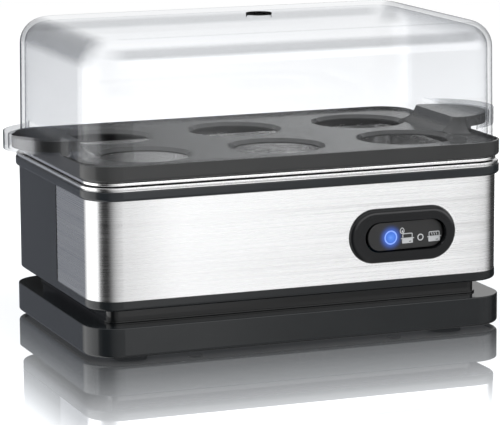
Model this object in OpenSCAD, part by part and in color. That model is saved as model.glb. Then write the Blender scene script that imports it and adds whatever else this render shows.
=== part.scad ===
// Six-egg electric cooker. Millimetres, +Z up, origin on the ground under the middle of the body.
// The steel front faces -Y; the two handles stick out along X.

/* [Body] */
// Length of the body along X
body_len = 180; // [165:1:210]
// Depth of the body along Y
body_dep = 113; // [108:1:130]
// Vertical corner radius of the body
body_r = 12.4; // [11:0.2:15]
// Wall thickness of the plastic mouldings
wall = 2.2; // [1.8:0.1:2.6]
// Height of the plinth
plinth_h = 12.3; // [10:0.1:18]
// How far the plinth stands out past the body
plinth_over = 1.25; // [0.5:0.05:2]
// Height of the groove that the cord is wound in
neck_h = 6.5; // [5:0.1:14]
// Depth of that groove, measured in from the body
neck_inset = 9; // [6:0.2:11]
// Corner radius of the neck
neck_r = 4; // [3:0.2:8]
// Height of the plastic band below the steel
band_h = 4; // [3:0.1:8]
// Edge rounding of the mouldings
edge_r = 1.4; // [0.6:0.1:1.8]

/* [Steel front] */
// Height of the brushed steel band
steel_h = 40.5; // [38:0.5:55]
// Thickness of the steel sheet
steel_t = 0.6; // [0.4:0.1:0.8]
// How far the steel lies below the plastic round it
steel_sink = 0.2; // [0.1:0.05:0.4]
// Distance that the steel wraps back along each side, from the front face
steel_wrap = 50; // [30:1:70]

/* [Rim] */
// Height of the upper collar
collar_h = 4; // [3:0.1:7]
// How far the collar and the tray stand out past the body
collar_over = 1.5; // [0.6:0.1:2]
// Height of the bright trim ring
trim_h = 1.2; // [0.8:0.1:2]
// How far the trim ring stands out past the body
trim_over = 1.1; // [0.3:0.1:1.3]
// Height of each dark seam at the rim
seam_h = 0.4; // [0.3:0.05:0.6]
// How deep each dark seam is
seam_in = 1.2; // [0.8:0.1:1.6]
// Thickness of the silicone seal under the bowl's flange
gasket_h = 0.5; // [0.5:0.1:1.5]

/* [Water bowl] */
// Sheet thickness of the bowl
bowl_t = 1.1; // [0.8:0.1:1.4]
// Inside depth of the bowl, below its flange
bowl_depth = 13; // [9:0.5:15]
// Width of the flange that the bowl hangs from
flange_w = 6; // [5:0.2:7]
// Thickness of the flange, which is folded over at its edge
flange_t = 1.3; // [0.8:0.1:1.6]
// Corner radius inside the bowl
bowl_r = 9; // [7:0.5:14]

/* [Egg tray] */
// Height of the tray's skirt
tray_h = 6.5; // [5.5:0.1:9]
// Thickness of the tray's top plate
tray_t = 2; // [1.5:0.1:2.5]
// Height of the lip that keeps the lid in place
lip_h = 1; // [0.6:0.1:1.5]
// Diameter of an egg hole at its narrow end
egg_d = 38; // [34:0.5:42]
// Width of the sloped seat round each egg hole
egg_seat = 1.6; // [0.8:0.1:2]
// Spacing of the egg holes along X
egg_pitch_x = 58; // [52:0.5:60]
// Spacing of the egg holes along Y
egg_pitch_y = 50; // [47:0.5:52]
// Reach of the tray's handle from the tray's wall
lug_out = 14; // [12:0.5:18]
// Thickness of the tray's handle
lug_t = 4.5; // [4:0.1:6]
// Radius of the flare round the foot of the handle's mound
flare_r = 9; // [7:0.5:10]

/* [Lid] */
// Height of the clear lid
lid_h = 50.3; // [42:0.1:60]
// Wall thickness of the lid
lid_t = 2; // [1.5:0.1:2.5]
// Vertical corner radius of the lid
lid_r = 18; // [15.5:0.5:22]
// Rounding round the lid's top
lid_top_r = 10.9; // [8:0.1:12]
// Inward lean of the lid's walls, in mm for each mm of height
lid_lean = 0.014; // [0.005:0.001:0.02]
// Gap between the lid and the tray's lip
lid_gap = 0.25; // [0.15:0.05:0.4]
// Gap round the tray's handle inside the lid's handle cap
lug_gap = 1.5; // [1:0.1:2]
// Height of the handle cap
cap_h = 7; // [6.6:0.1:9]
// Diameter of the steam hole
vent_d = 11; // [6:0.5:14]
// Place of the steam hole along X
vent_x = 10; // [-20:1:20]
// Place of the steam hole along Y
vent_y = 20; // [-25:1:25]

/* [Switch] */
// Distance of the switch's middle from the body's right side
switch_in = 46.6; // [44:0.2:54]
// Height of the switch above the steel's lower edge
switch_up = 18.6; // [17:0.2:22]
// Length of the switch bezel
bezel_len = 48; // [46:0.5:52]
// Height of the switch bezel
bezel_h = 23; // [22:0.5:26]
// How far the bezel stands out from the steel
bezel_out = 1.7; // [1:0.1:1.7]
// Length of the opening in the bezel
opening_len = 36.4; // [35:0.2:38]
// Height of the opening in the bezel
opening_h = 12.6; // [12:0.2:13.4]
// Gap round the rocker
rocker_gap = 0.7; // [0.6:0.05:0.9]
// Thickness of the rocker at its face
rocker_t = 4; // [3:0.1:4.5]
// Half of the rocker's travel, in degrees
rocker_tilt = 4; // [3:0.5:5.5]
// Diameter of the rocker's pin
pin_d = 2.4; // [2:0.1:2.8]
// Diameter of the light in the rocker
lens_d = 6; // [4:0.2:7]
// Place of the light, measured from the rocker's middle
lens_dx = -7; // [-8:0.2:-6.4]

/* [Heater] */
// Length of the heater's straight tubes
heater_len = 76; // [50:1:90]
// Spacing of the heater's two tubes
heater_gap = 44; // [34:1:48]
// Diameter of the heater tube
tube_d = 6.4; // [5:0.1:7]
// Thickness of the aluminium plate under the bowl
plate_t = 3.6; // [3.6:0.1:5]
// Diameter of the thermostat
thermostat_d = 16; // [12:0.5:20]

/* [Fasteners and feet] */
// Shank diameter of the screws
screw_d = 3; // [2.5:0.1:3.5]
// Diameter of the rubber feet
foot_d = 14; // [10:0.5:18]
// Height of the feet below the plinth's edge
foot_h = 1.5; // [1.2:0.1:4]
// Bore of the cord bushing
cord_bore = 6.2; // [5:0.1:7]
// Clearance between parts that fit inside each other
fit = 0.2; // [0.15:0.05:0.3]

/* [Hidden] */
$fn = 96;

charcoal = "#3a3d40";
bright = "#d6d8da";
smooth = 0.4;       // small edge rounding
over = 1;           // length by which a cutting shape passes the face that it cuts

// Half sizes of the body
ha = body_len / 2;
hb = body_dep / 2;

// Levels, from the ground up
z_plinth = foot_h;
z_neck = z_plinth + plinth_h;
z_band = z_neck + neck_h;
z_steel = z_band + band_h;
z_collar = z_steel + steel_h;
z_trim = z_collar + collar_h;
z_gasket = z_trim + seam_h + trim_h;
z_flange = z_gasket + gasket_h;
z_seat = z_flange + flange_t;        // top of the bowl's flange, where the tray sits
z_tray = z_seat + 0.75 * seam_h;     // lower edge of the tray's skirt
z_lip = z_tray + tray_h;             // top of the tray's lip
z_deck = z_lip - lip_h;              // top of the tray's plate, where the lid stands
z_lid = z_deck;
z_floor = z_seat - bowl_t - bowl_depth;   // underside of the bowl
z_plate = z_floor - plate_t;              // underside of the heater plate

// Plinth, cover and feet
cover_z = z_plinth + 1.1;
cover_t = 2.4;
foot_sink = 0.6;
foot_in_x = 20;
foot_in_y = 16.5;
foot_x = ha - foot_in_x;
foot_y = hb - foot_in_y;
cover_screw_in_x = 46;
cover_screw_in_y = 10;
cover_screw_x = ha - cover_screw_in_x;
cover_screw_y = hb - cover_screw_in_y;
screw_tip = 2;       // shortest wall left ahead of a screw's tip
boss_wall = 2.5;
boss_d = screw_d + 2 * boss_wall;
head_rim = 1.3;
head_d = screw_d + 2 * head_rim;
head_h = 1.8;
sink_h = 1.2;
screw_hole = screw_d + fit / 2;
slot_len = 30;
slot_w = 2.6;
slot_pitch = 8;

// Body screws, which go up through the neck into the housing
body_screw_in_x = 24;
body_screw_in_y = 26;
body_screw_x = ha - body_screw_in_x;
body_screw_y = hb - body_screw_in_y;
body_boss_h = 10;

// Bowl
bowl_a = ha - flange_w;
bowl_b = hb - flange_w;
bowl_edge = 4;       // rounding between the bowl's wall and its floor
flange_edge = flange_t * 0.25;

// Collar opening, clear of the bowl's wall
collar_gap = 3 * fit;

// Heater, its plate and the bar that pulls it down
plate_margin = 7;
plate_a = (heater_len + heater_gap) / 2;
plate_b = heater_gap / 2 + plate_margin;
stud_d = 4;
stud_in = 14;
stud_x = heater_len / 2 - stud_in;
nut_d = 7;
nut_h = 3;
bar_t = 1.5;
bar_w = 12;
post_in = 14;
post_x = ha - post_in;
post_d = 9;
bar_screw_len = 9;
thermostat_h = 5;
tab_len = 4;
tab_gap = 2.5;
bar_drop = thermostat_h + tab_len + bar_t + tab_gap;
z_bar = z_plate - bar_drop;
fuse_d = 4;
fuse_len = 14;
fuse_gap = 1.5;
fuse_y = -thermostat_d / 2 - fuse_d / 2 - fuse_gap;
pin_len = 12;
heater_pin_d = 2.6;

// Switch: places and sizes
switch_x = ha - switch_in;
switch_z = z_steel + switch_up;
steel_face = -hb + steel_sink;
bezel_face = steel_face - bezel_out;
bezel_edge = 2.4;    // radius of the bezel's soft outer edge
open_dx = 1;
open_dz = -0.4;
open_x = switch_x + open_dx;
open_z = switch_z + open_dz;
sleeve_w = 2.4;
sleeve_len = 11;
sleeve_back = bezel_face + sleeve_len;
rocker_len = opening_len - 2 * rocker_gap;
rocker_h = opening_h - rocker_gap;
rocker_face = bezel_face + rocker_len / 2 * sin(rocker_tilt) + fit / 2;
pivot_in = 6.2;      // depth of the pin behind the rocker's face
pivot_y = rocker_face + pivot_in;
pivot_len = opening_h + 2 * sleeve_w - 2;
hub_w = 1.3;
hub_d = pin_d + 2 * hub_w;
hub_len = rocker_h - 2;
stem_len = 5.5;
stem_d = 3;
lens_dz = -0.5;
switch_w = 22;
switch_tall = 15;
switch_deep = 15;
stem_side = 4.6;     // from the stem to the switch's left side
switch_left = open_x - stem_side;
stem_slot = 6.4;
blade_w = 5;
blade_t = 0.8;
blade_len = 8;
blade_pitch = 7;
led_d = 3;
led_h = 2;
board_t = 1.6;
board_w = 17;
board_h = 14;
resistor_d = 2.4;
resistor_len = 8;
resistor_dx = 4;
board_x = switch_left - fit - board_w / 2;
lamp_x = open_x + lens_dx;

// Tray handles and the lid's caps over them, whose arcs share one centre
lug_in = 5.5;
lug_c = ha - lug_in;
lug_r = ha + collar_over + lug_out - lug_c;
lid_over = 0.5;      // how far the lid's lower edge stands out past the body
cap_r = lug_r + lug_gap + lid_t;
cap_t = 1.6;
cap_low = z_lip + 0.3;
cap_top = cap_low + cap_h;
lug_top = cap_top - cap_t - 0.3;
root_in = 7;         // from the body's side to the mound's top edge
mound_r = 3;
mound_sink = 0.15;   // how far the flare's foot lies under the plate's surface
mound_gap = 0.8;     // gap between the mound and the lid's wall
blend_r = 8;         // fillet between a cap and the lid's wall

// Rear: bushing and terminals
bushing_from_side = 34;
bushing_up = 8;
bushing_x = -ha + bushing_from_side;
bushing_z = z_band + wall + bushing_up;
bushing_wall = 1.5;
bushing_rim = 1.7;
bushing_d = cord_bore + 2 * bushing_wall;
bushing_flange = bushing_d + 2 * bushing_rim;
block_l = 26;
block_w = 12;
block_h = 9;
block_step = 26;
block_x = bushing_x + block_step;
block_y = hb - block_step;
block_pitch = 8;
block_bore = screw_d + 2;
bushing_lip = 1.2;
bushing_tail = 3;
bushing_in = wall + bushing_tail;         // how far the bushing reaches into the body

// ---- Outline and block helpers ----

// Rounded rectangle of half sizes a and b
module rounded(a, b, r) {
    square([2 * (a - r), 2 * b], center = true);
    square([2 * a, 2 * (b - r)], center = true);
    for (sx = [-1, 1], sy = [-1, 1])
        translate([sx * (a - r), sy * (b - r)])
            circle(r = r);
}

// Oblong with round ends, length l and height h
module oblong(l, h) {
    square([l - h, h], center = true);
    for (s = [-1, 1])
        translate([s * (l - h) / 2, 0])
            circle(d = h);
}

// Half section of a slab with rounded lower and upper edges
module slab_section(e, h, low, high) {
    translate([0, low])
        square([e, h - low - high]);
    square([e - low, low]);
    translate([0, h - high])
        square([e - high, high]);
    translate([e - low, low])
        circle(r = low);
    translate([e - high, h - high])
        circle(r = high);
}

// Half section of a disc whose upper edge falls away softly. The radius may exceed the height.
module soft_section(e, h, r) {
    intersection() {
        square([e, h]);
        union() {
            square([e - r, h]);
            translate([e - r, h - r])
                circle(r = r);
        }
    }
}

// Half section of a mound whose side flares out to its foot
module flare_section(e, h, r) {
    difference() {
        square([e, h]);
        translate([e, r])
            circle(r = r);
    }
}

// Half section of a dome with leaning walls and a rounded top
module dome_section(e, h, top, lean) {
    slope = sqrt(1 + lean * lean);
    cx = e - lean * (h - top) - top * slope;
    polygon([[0, 0], [e, 0], [cx + top / slope, h - top + top * lean / slope],
        [cx, h - top], [cx, h], [0, h]]);
    intersection() {
        translate([cx, h - top])
            circle(r = top);
        square([e, h]);
    }
}

// Sweeps a half section round a rounded rectangle. The section is child 0 for the
// long sides (half size b), child 1 for the short sides (half size a), child 2 for the corners (r).
module swept(a, b, r) {
    rotate([90, 0, 90])
        linear_extrude(2 * (a - r), center = true)
            for (s = [0, 1])
                mirror([s, 0])
                    children(0);
    rotate([90, 0, 0])
        linear_extrude(2 * (b - r), center = true)
            for (s = [0, 1])
                mirror([s, 0])
                    children(1);
    for (sx = [-1, 1], sy = [-1, 1])
        translate([sx * (a - r), sy * (b - r), 0])
            rotate_extrude()
                children(2);
}

module slab(a, b, r, h, low, high) {
    swept(a, b, r) {
        slab_section(b, h, low, high);
        slab_section(a, h, low, high);
        slab_section(r, h, low, high);
    }
}

module dome(a, b, r, h, top, lean) {
    swept(a, b, r) {
        dome_section(b, h, top, lean);
        dome_section(a, h, top, lean);
        dome_section(r, h, top, lean);
    }
}

module prism(a, b, r, h) {
    linear_extrude(h)
        rounded(a, b, r);
}

// The four places (x, y), (-x, y) ...
module at_four(x, y) {
    for (sx = [-1, 1], sy = [-1, 1])
        translate([sx * x, sy * y, 0])
            children();
}

// Oblong bar along Y, from y0 to y1, seen from the front
module front_oblong(x, z, l, h, y0, y1) {
    translate([x, y1, z])
        rotate([90, 0, 0])
            linear_extrude(y1 - y0)
                oblong(l, h);
}

// Pan-head screw pointing up, with its head below z = 0
module screw(len) {
    cylinder(d = screw_d, h = len);
    translate([0, 0, -head_h])
        cylinder(d = head_d, h = head_h);
}

// ---- Base ----

module base_plinth() {
    pa = ha + plinth_over;
    pb = hb + plinth_over;
    pr = body_r + plinth_over;
    color(charcoal) {
        difference() {
            translate([0, 0, z_plinth])
                slab(pa, pb, pr, plinth_h, edge_r, smooth);
            translate([0, 0, z_plinth - over])
                prism(pa - wall, pb - wall, pr - wall, plinth_h - wall + over);
            at_four(body_screw_x, body_screw_y)
                cylinder(d = screw_hole, h = z_neck + over);
        }
        difference() {
            at_four(cover_screw_x, cover_screw_y)
                translate([0, 0, cover_z + cover_t])
                    cylinder(d = boss_d, h = z_neck - wall - cover_z - cover_t);
            at_four(cover_screw_x, cover_screw_y)
                cylinder(d = screw_hole, h = z_neck - wall);
        }
    }
}

module bottom_cover() {
    ca = ha + plinth_over - wall - fit;
    cb = hb + plinth_over - wall - fit;
    color(charcoal)
        difference() {
            translate([0, 0, cover_z])
                prism(ca, cb, body_r + plinth_over - wall - fit, cover_t);
            at_four(cover_screw_x, cover_screw_y) {
                cylinder(d = screw_hole, h = z_neck);
                cylinder(d = head_d + 2 * fit, h = cover_z + sink_h);
            }
            at_four(foot_x, foot_y)
                cylinder(d = foot_d, h = cover_z + foot_sink);
            for (i = [-2:2])
                translate([0, i * slot_pitch, 0])
                    linear_extrude(z_neck)
                        oblong(slot_len, slot_w);
        }
}

module rubber_feet() {
    color("#222222")
        at_four(foot_x, foot_y)
            rotate_extrude()
                slab_section(foot_d / 2, cover_z + foot_sink, smooth, smooth / 2);
}

module cover_screws() {
    color(bright)
        at_four(cover_screw_x, cover_screw_y)
            translate([0, 0, cover_z + sink_h])
                screw(plinth_h - wall - sink_h - screw_tip);
}

module cord_wrap_neck() {
    na = ha - neck_inset;
    nb = hb - neck_inset;
    foot_step = 0.8;
    rib_y = body_screw_y + boss_d / 2 - smooth;
    rib_len = nb - wall / 2 - rib_y;
    color(charcoal)
        difference() {
            translate([0, 0, z_neck]) {
                prism(na, nb, neck_r, neck_h);
                slab(na + foot_step, nb + foot_step, neck_r + foot_step, foot_step, smooth / 2, smooth / 2);
            }
            translate([0, 0, z_neck - over])
                prism(na - wall, nb - wall, neck_r - wall / 2, neck_h + 2 * over);
        }
    color(charcoal)
        difference() {
            translate([0, 0, z_neck])
                at_four(body_screw_x, body_screw_y)
                    cylinder(d = boss_d, h = neck_h);
            at_four(body_screw_x, body_screw_y)
                cylinder(d = screw_hole, h = z_band + over);
        }
    // ribs from the neck's wall to its screw tubes
    color(charcoal)
        for (sx = [-1, 1], sy = [-1, 1])
            translate([sx * body_screw_x - wall / 2, sy > 0 ? rib_y : -rib_y - rib_len, z_neck])
                cube([wall, rib_len, neck_h]);
}

// ---- Housing ----

// Hole that the switch's sleeve goes through
module switch_cutout() {
    front_oblong(open_x, open_z, opening_len + 2 * sleeve_w + fit, opening_h + 2 * sleeve_w + fit,
        -hb - over, -hb + 2 * wall);
}

module main_housing() {
    wrap_y = -hb + steel_wrap;
    post_h = z_bar - z_band - wall;
    color(charcoal)
        difference() {
            union() {
                difference() {
                    translate([0, 0, z_band])
                        slab(ha, hb, body_r, band_h + steel_h, edge_r, smooth / 2);
                    translate([0, 0, z_band + wall])
                        prism(ha - wall, hb - wall, body_r - wall, band_h + steel_h);
                }
                translate([0, 0, z_band + wall / 2]) {
                    at_four(body_screw_x, body_screw_y)
                        cylinder(d = boss_d, h = body_boss_h);
                    for (s = [-1, 1])
                        translate([s * post_x, 0, 0])
                            cylinder(d = post_d, h = post_h + wall / 2);
                }
            }
            // recess for the steel
            translate([0, 0, z_steel])
                linear_extrude(steel_h + over)
                    intersection() {
                        difference() {
                            rounded(ha + over, hb + over, body_r + over);
                            rounded(ha - steel_sink - steel_t, hb - steel_sink - steel_t,
                                body_r - steel_sink - steel_t);
                        }
                        translate([-body_len, wrap_y - 2 * body_dep])
                            square([2 * body_len, 2 * body_dep]);
                    }
            switch_cutout();
            at_four(body_screw_x, body_screw_y)
                translate([0, 0, z_band - over])
                    cylinder(d = screw_hole, h = body_boss_h + over);
            for (s = [-1, 1])
                translate([s * post_x, 0, z_bar - bar_screw_len])
                    cylinder(d = screw_hole, h = bar_screw_len + over);
            translate([bushing_x, hb - 2 * wall, bushing_z])
                rotate([-90, 0, 0])
                    cylinder(d = bushing_d + fit, h = 3 * wall);
        }
}

module body_screws() {
    color(bright)
        at_four(body_screw_x, body_screw_y)
            translate([0, 0, z_neck - wall])
                screw(wall + neck_h + body_boss_h - 1);
}

module steel_band() {
    wrap_y = -hb + steel_wrap - fit;
    outer = steel_sink;
    inner = steel_sink + steel_t;
    color("#c9cbcc")
        difference() {
            translate([0, 0, z_steel])
                linear_extrude(steel_h)
                    intersection() {
                        difference() {
                            rounded(ha - outer, hb - outer, body_r - outer);
                            rounded(ha - inner, hb - inner, body_r - inner);
                        }
                        translate([-body_len, wrap_y - 2 * body_dep])
                            square([2 * body_len, 2 * body_dep]);
                    }
            switch_cutout();
        }
}

module top_collar() {
    ca = ha + collar_over;
    cb = hb + collar_over;
    locate_h = 3;
    in_a = bowl_a + collar_gap;
    in_b = bowl_b + collar_gap;
    color(charcoal) {
        difference() {
            translate([0, 0, z_collar])
                slab(ca, cb, body_r + collar_over, collar_h, edge_r, smooth);
            translate([0, 0, z_collar - over])
                prism(in_a, in_b, bowl_r + collar_gap, collar_h + 2 * over);
        }
        // rib that locates the collar inside the housing
        difference() {
            translate([0, 0, z_collar - locate_h])
                prism(ha - wall - fit, hb - wall - fit, body_r - wall - fit, locate_h + smooth);
            translate([0, 0, z_collar - locate_h - over])
                prism(in_a, in_b, bowl_r + collar_gap, locate_h + 2 * over);
        }
    }
}

// Ring that follows the rim: its lowest part steps in, which leaves a dark seam
module collar_trim() {
    trim_edge = trim_h * 0.25;
    in_a = bowl_a + collar_gap;
    in_b = bowl_b + collar_gap;
    color(bright)
        difference() {
            translate([0, 0, z_trim]) {
                prism(ha + collar_over - seam_in, hb + collar_over - seam_in, body_r + collar_over - seam_in,
                    seam_h + trim_h / 2);
                translate([0, 0, seam_h])
                    slab(ha + trim_over, hb + trim_over, body_r + trim_over, trim_h, trim_edge, trim_edge);
            }
            translate([0, 0, z_trim - over])
                prism(in_a, in_b, bowl_r + collar_gap, seam_h + trim_h + 2 * over);
        }
}

module bowl_gasket() {
    color("#202020")
        difference() {
            translate([0, 0, z_gasket])
                prism(ha - seam_in, hb - seam_in, body_r - seam_in, gasket_h);
            translate([0, 0, z_gasket - over])
                prism(bowl_a + collar_gap, bowl_b + collar_gap, bowl_r + collar_gap, gasket_h + 2 * over);
        }
}

// ---- Bowl and heater ----

module water_bowl() {
    color("#b9bcbf")
        difference() {
            union() {
                translate([0, 0, z_flange])
                    slab(ha, hb, body_r, flange_t, flange_edge, flange_edge);
                translate([0, 0, z_floor])
                    slab(bowl_a, bowl_b, bowl_r, bowl_depth + bowl_t, bowl_edge, smooth / 4);
            }
            translate([0, 0, z_floor + bowl_t])
                slab(bowl_a - bowl_t, bowl_b - bowl_t, bowl_r - bowl_t, bowl_depth + bowl_t + over,
                    bowl_edge - bowl_t, smooth / 4);
        }
}

// Straight tubes and end loop of the heater
module heater_path(d) {
    for (s = [-1, 1])
        translate([-heater_len / 2, s * heater_gap / 2, 0])
            rotate([0, 90, 0])
                cylinder(d = d, h = heater_len);
    translate([heater_len / 2, 0, 0])
        rotate([0, 0, -90])
            rotate_extrude(angle = 180)
                translate([heater_gap / 2, 0])
                    circle(d = d);
}

module heater_plate() {
    color("#c4c4c0")
        difference() {
            translate([heater_gap / 4, 0, z_plate])
                prism(plate_a, plate_b, plate_margin, plate_t);
            translate([0, 0, z_plate])
                heater_path(tube_d + fit / 2);
            for (s = [-1, 1]) {
                // the groove runs on past the pins
                translate([-plate_a, s * heater_gap / 2, z_plate])
                    rotate([0, 90, 0])
                        cylinder(d = tube_d + fit / 2, h = plate_a - heater_len / 2 + over);
                translate([s * stud_x, 0, z_plate - over])
                    cylinder(d = stud_d + fit / 2, h = plate_t + over - smooth);
            }
        }
}

module heating_element() {
    color("#8a8a86")
        translate([0, 0, z_plate])
            heater_path(tube_d);
}

module heater_pins() {
    color(bright)
        for (s = [-1, 1])
            translate([-heater_len / 2 - pin_len, s * heater_gap / 2, z_plate])
                rotate([0, 90, 0])
                    cylinder(d = heater_pin_d, h = pin_len);
}

module retaining_bar() {
    color(bright)
        translate([0, 0, z_bar])
            difference() {
                linear_extrude(bar_t)
                    oblong(2 * post_x + bar_w, bar_w);
                for (s = [-1, 1]) {
                    translate([s * post_x, 0, -over])
                        cylinder(d = screw_hole, h = bar_t + 2 * over);
                    translate([s * stud_x, 0, -over])
                        cylinder(d = stud_d + fit / 2, h = bar_t + 2 * over);
                }
            }
}

module clamp_studs() {
    below = nut_h + 2;
    color(bright)
        for (s = [-1, 1])
            translate([s * stud_x, 0, z_bar - below])
                cylinder(d = stud_d, h = below + bar_drop + plate_t - smooth);
}

module clamp_nuts() {
    color(bright)
        for (s = [-1, 1])
            translate([s * stud_x, 0, z_bar - nut_h])
                difference() {
                    cylinder(d = nut_d / cos(30), h = nut_h, $fn = 6);
                    translate([0, 0, -over])
                        cylinder(d = stud_d + fit / 2, h = nut_h + 2 * over);
                }
}

module bar_screws() {
    color(bright)
        for (s = [-1, 1])
            translate([s * post_x, 0, z_bar + bar_t])
                mirror([0, 0, 1])
                    screw(bar_t + bar_screw_len - 1);
}

module thermostat() {
    tab_w = 3;
    tab_t = 0.8;
    color("#2c2a28")
        translate([0, 0, z_plate - thermostat_h])
            cylinder(d = thermostat_d, h = thermostat_h);
    color(bright)
        for (s = [-1, 1])
            translate([s * thermostat_d / 4 - tab_t / 2, -tab_w / 2, z_plate - thermostat_h - tab_len])
                cube([tab_t, tab_w, tab_len]);
}

module thermal_fuse() {
    color("#e8e2d0")
        translate([-fuse_len / 2, fuse_y, z_plate - fuse_d / 2 - fit / 2])
            rotate([0, 90, 0])
                cylinder(d = fuse_d, h = fuse_len);
}

// Saddle that holds the thermal fuse against the plate
module fuse_clip() {
    clip_t = 0.8;
    clip_w = 5;
    ear = 4;
    bore = fuse_d + fit;
    color(bright)
        difference() {
            translate([-clip_w / 2, fuse_y, z_plate])
                rotate([90, 0, 90])
                    linear_extrude(clip_w)
                        difference() {
                            union() {
                                translate([0, -bore / 2])
                                    circle(d = bore + 2 * clip_t);
                                translate([-bore / 2 - clip_t, -bore / 2])
                                    square([bore + 2 * clip_t, bore / 2]);
                                translate([-bore / 2 - clip_t - ear, -clip_t])
                                    square([ear + clip_t, clip_t]);
                            }
                            translate([0, -bore / 2])
                                circle(d = bore);
                            translate([-bore / 2, -bore / 2])
                                square([bore, bore]);
                            translate([-bore, 0])
                                square([2 * bore, bore]);
                        }
        }
}

// ---- Switch ----

// Oblong button that faces the front, with its back at y = 0 and a soft front edge
module button(l, h, t, edge) {
    rotate([90, 0, 0]) {
        for (s = [-1, 1])
            translate([s * (l - h) / 2, 0, 0])
                rotate_extrude()
                    soft_section(h / 2, t, edge);
        rotate([90, 0, 90])
            linear_extrude(l - h, center = true)
                for (s = [0, 1])
                    mirror([s, 0])
                        soft_section(h / 2, t, edge);
    }
}

module switch_bezel() {
    color("#15171a")
        difference() {
            union() {
                translate([switch_x, steel_face, switch_z])
                    button(bezel_len, bezel_h, bezel_out, bezel_edge);
                front_oblong(open_x, open_z, opening_len + 2 * sleeve_w, opening_h + 2 * sleeve_w,
                    steel_face - smooth, sleeve_back);
            }
            front_oblong(open_x, open_z, opening_len, opening_h, bezel_face - over, sleeve_back + over);
            translate([open_x, pivot_y, open_z])
                cylinder(d = pin_d + fit / 4, h = pivot_len + 2 * fit, center = true);
        }
}

// Everything on the rocker is drawn level, then turned to its rest position
module on_rocker() {
    translate([open_x, pivot_y, open_z])
        rotate([0, 0, rocker_tilt])
            translate([0, -pivot_y, 0])
                children();
}

module rocker() {
    color("#1b1d20")
        on_rocker()
            difference() {
                union() {
                    translate([0, rocker_face + rocker_t, 0])
                        button(rocker_len, rocker_h, rocker_t, smooth);
                    translate([0, pivot_y, 0])
                        cylinder(d = hub_d, h = hub_len, center = true);
                    translate([-hub_d / 2, rocker_face + 1, -hub_len / 2])
                        cube([hub_d, pivot_y - rocker_face - 1, hub_len]);
                    translate([0, pivot_y, 0])
                        rotate([-90, 0, 0])
                            cylinder(d = stem_d, h = stem_len);
                }
                translate([0, pivot_y, 0])
                    cylinder(d = pin_d + 0.75 * fit, h = rocker_h, center = true);
                translate([lens_dx, rocker_face - over, lens_dz])
                    rotate([-90, 0, 0])
                        cylinder(d = lens_d + fit / 4, h = rocker_t + 2 * over);
            }
}

module indicator_lens() {
    color("#4d7dff")
        on_rocker()
            translate([lens_dx, rocker_face - 0.05, lens_dz])
                rotate([-90, 0, 0])
                    cylinder(d = lens_d, h = rocker_t + 0.05);
}

module rocker_pin() {
    color(bright)
        translate([open_x, pivot_y, open_z])
            cylinder(d = pin_d, h = pivot_len, center = true);
}

module switch_body() {
    color("#26282b")
        difference() {
            translate([switch_left, sleeve_back, open_z - switch_tall / 2])
                cube([switch_w, switch_deep, switch_tall]);
            // slot that the rocker's stem swings in
            translate([open_x - stem_slot / 2, sleeve_back - over, open_z - stem_d / 2 - 3 * fit])
                cube([stem_slot, stem_len + over, stem_d + 6 * fit]);
        }
}

module switch_terminals() {
    color(bright)
        for (i = [-1:1])
            translate([switch_left + switch_w / 2 + i * blade_pitch - blade_w / 2, sleeve_back + switch_deep,
                open_z - blade_t / 2])
                cube([blade_w, blade_len, blade_t]);
}

module indicator_board() {
    color("#1f6b3a")
        translate([board_x - board_w / 2, sleeve_back, open_z - board_h / 2])
            cube([board_w, board_t, board_h]);
}

module indicator_led() {
    color("#cfe0ff")
        translate([lamp_x, sleeve_back, open_z + lens_dz])
            rotate([90, 0, 0]) {
                cylinder(d = led_d, h = led_h);
                translate([0, 0, led_h])
                    sphere(d = led_d);
            }
}

module dropper_resistor() {
    color("#c9b48a")
        translate([board_x - resistor_dx, sleeve_back + board_t + resistor_d / 2, open_z - resistor_len / 2])
            cylinder(d = resistor_d, h = resistor_len);
}

// ---- Rear ----

module cord_bushing() {
    color("#1c1c1c")
        translate([bushing_x, hb, bushing_z])
            rotate([90, 0, 0])
                difference() {
                    translate([0, 0, -bushing_lip])
                        union() {
                            cylinder(d = bushing_flange, h = bushing_lip);
                            cylinder(d = bushing_d, h = bushing_lip + bushing_in);
                        }
                    translate([0, 0, -bushing_lip - over])
                        cylinder(d = cord_bore, h = bushing_lip + bushing_in + 2 * over);
                }
}

module terminal_block() {
    color("#e9e6da")
        difference() {
            translate([block_x - block_l / 2, block_y - block_w / 2, z_band + wall])
                cube([block_l, block_w, block_h]);
            for (i = [-1:1])
                translate([block_x + i * block_pitch, block_y, z_band + wall + block_h / 2])
                    cylinder(d = block_bore, h = block_h);
            for (i = [-1:1])
                translate([block_x + i * block_pitch, block_y, z_band + wall + block_h / 3])
                    rotate([90, 0, 0])
                        cylinder(d = block_bore - 2, h = block_w + 2 * over, center = true);
        }
}

module terminal_screws() {
    color(bright)
        for (i = [-1:1])
            translate([block_x + i * block_pitch, block_y, z_band + wall + block_h / 2])
                cylinder(d = block_bore - fit, h = block_h / 2 - 1);
}

// ---- Egg tray ----

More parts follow.
